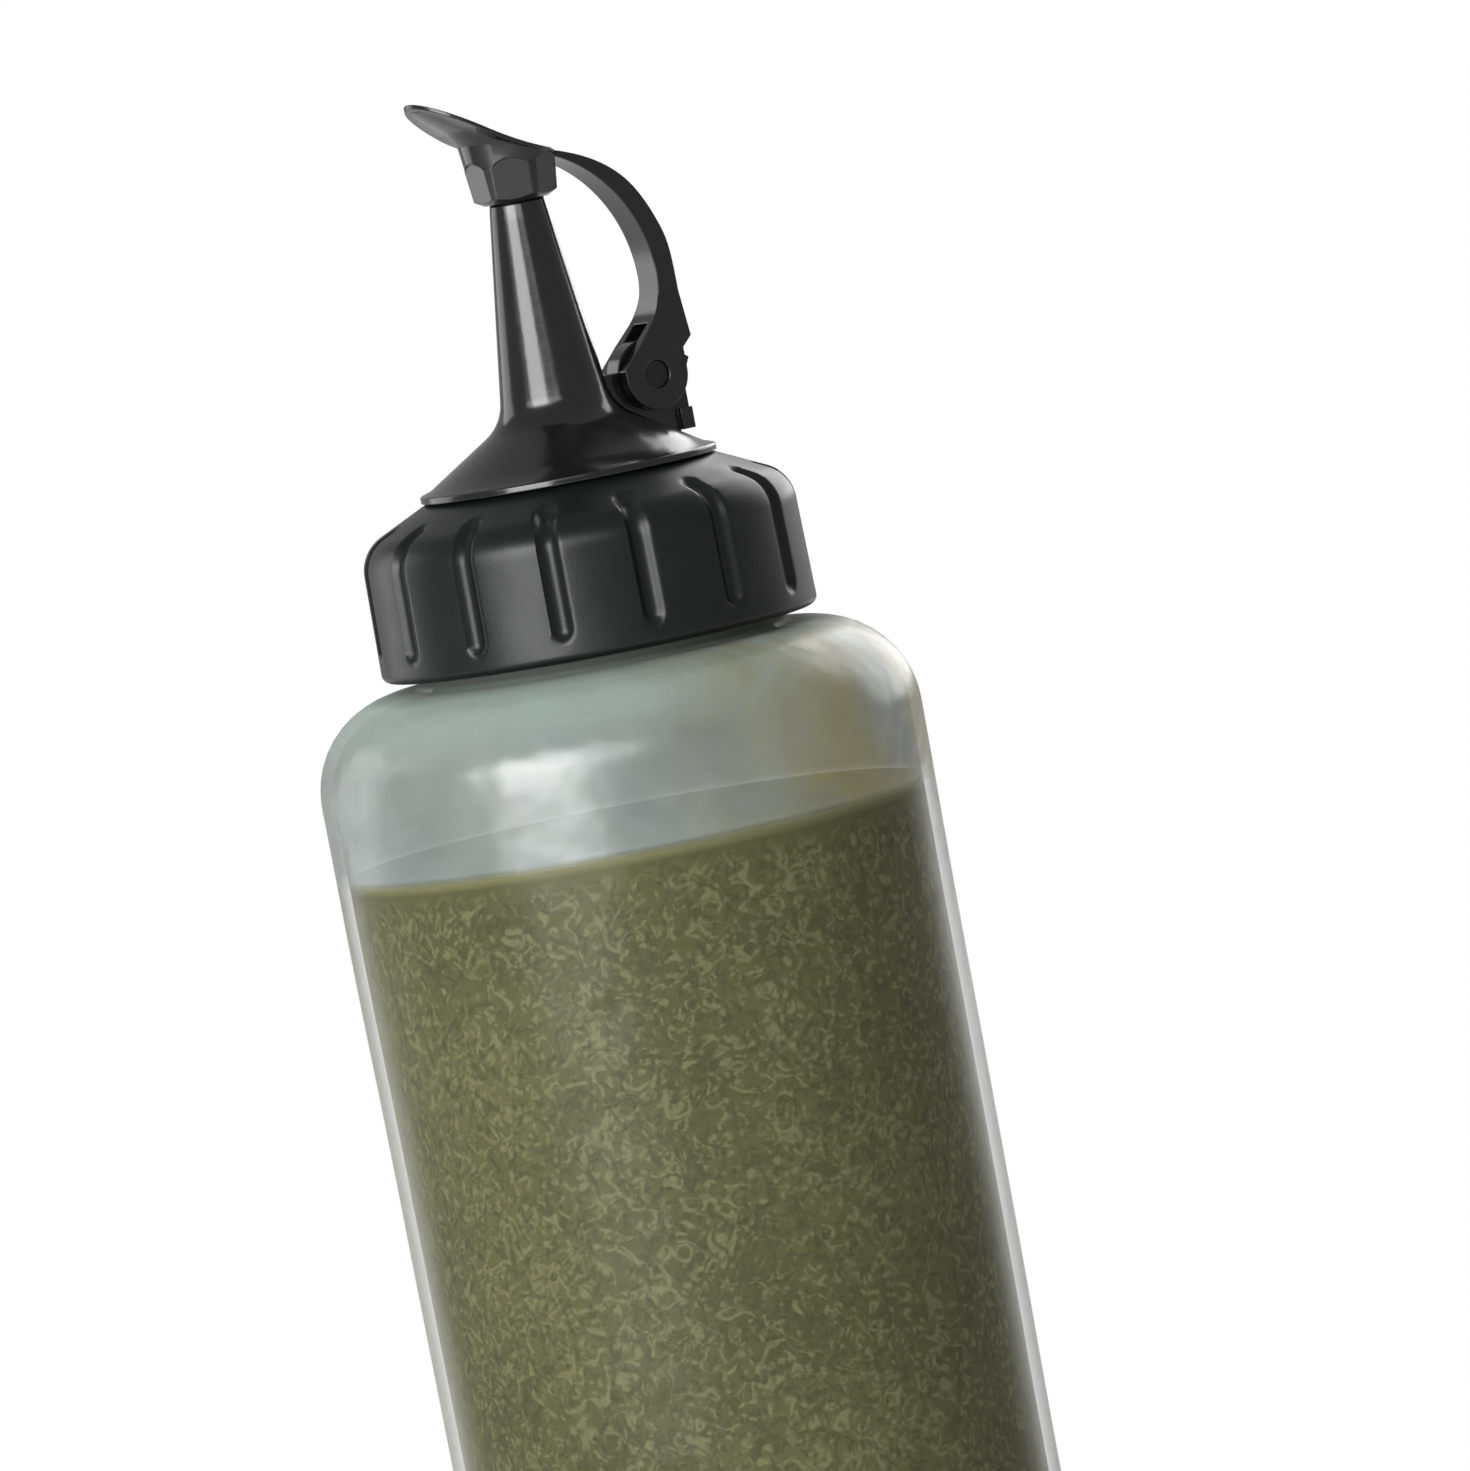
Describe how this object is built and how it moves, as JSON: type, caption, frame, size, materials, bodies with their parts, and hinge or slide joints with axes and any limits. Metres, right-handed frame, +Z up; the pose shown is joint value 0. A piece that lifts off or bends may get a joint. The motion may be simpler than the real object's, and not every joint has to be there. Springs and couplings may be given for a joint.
{
  "type": "squeeze bottle",
  "caption": "Squeezable dispensing bottle of olive-green sauce with a fluted black screw collar and a hinged flip cap over its tapering spout.",
  "frame": {"origin": "centre of the bottle's standing face", "axes": "+Z up along the bottle and its spout; +X towards the cap's hinge, -X towards its thumb tab; the cap opens towards +X"},
  "size_m": [0.066, 0.066, 0.1936],
  "materials": {
    "bottle": "translucent milky soft plastic with a faint orange peel",
    "sauce": "wet olive-green sauce with herb flecks",
    "screw_collar": "satin black moulded plastic",
    "neck_gasket": "pale soft foam",
    "nozzle": "glossy black moulded plastic",
    "hinge_pin": "smooth black plastic",
    "flip_cap": "glossy black moulded plastic",
    "tip_seal": "pale soft elastomer"
  },
  "bodies": {
    "bottle_body": {"bottle": "bottle", "sauce": "sauce"},
    "nozzle_body": {"nozzle": "nozzle", "neck_gasket": "neck_gasket", "hinge_pin": "hinge_pin"},
    "collar_body": {"screw_collar": "screw_collar"},
    "cap_body": {"flip_cap": "flip_cap", "tip_seal": "tip_seal"}
  },
  "joints": [
    {"name": "cap_lift", "type": "slide", "parent": "bottle_body", "child": "nozzle_body", "axis": [0, 0, 1], "range_m": [0, 0.006]},
    {"name": "collar_twist", "type": "hinge", "parent": "nozzle_body", "child": "collar_body", "pos_m": [0, 0, 0.14], "axis": [0, 0, 1], "range_deg": [0, 540]},
    {"name": "flip_hinge", "type": "hinge", "parent": "nozzle_body", "child": "cap_body", "pos_m": [0.0115, 0, 0.1601], "axis": [0, 1, 0], "range_deg": [0, 75]}
  ],
  "couplings": [
    {"joint": "collar_twist", "follows": "cap_lift", "rad_per_m": 1570.8}
  ]
}
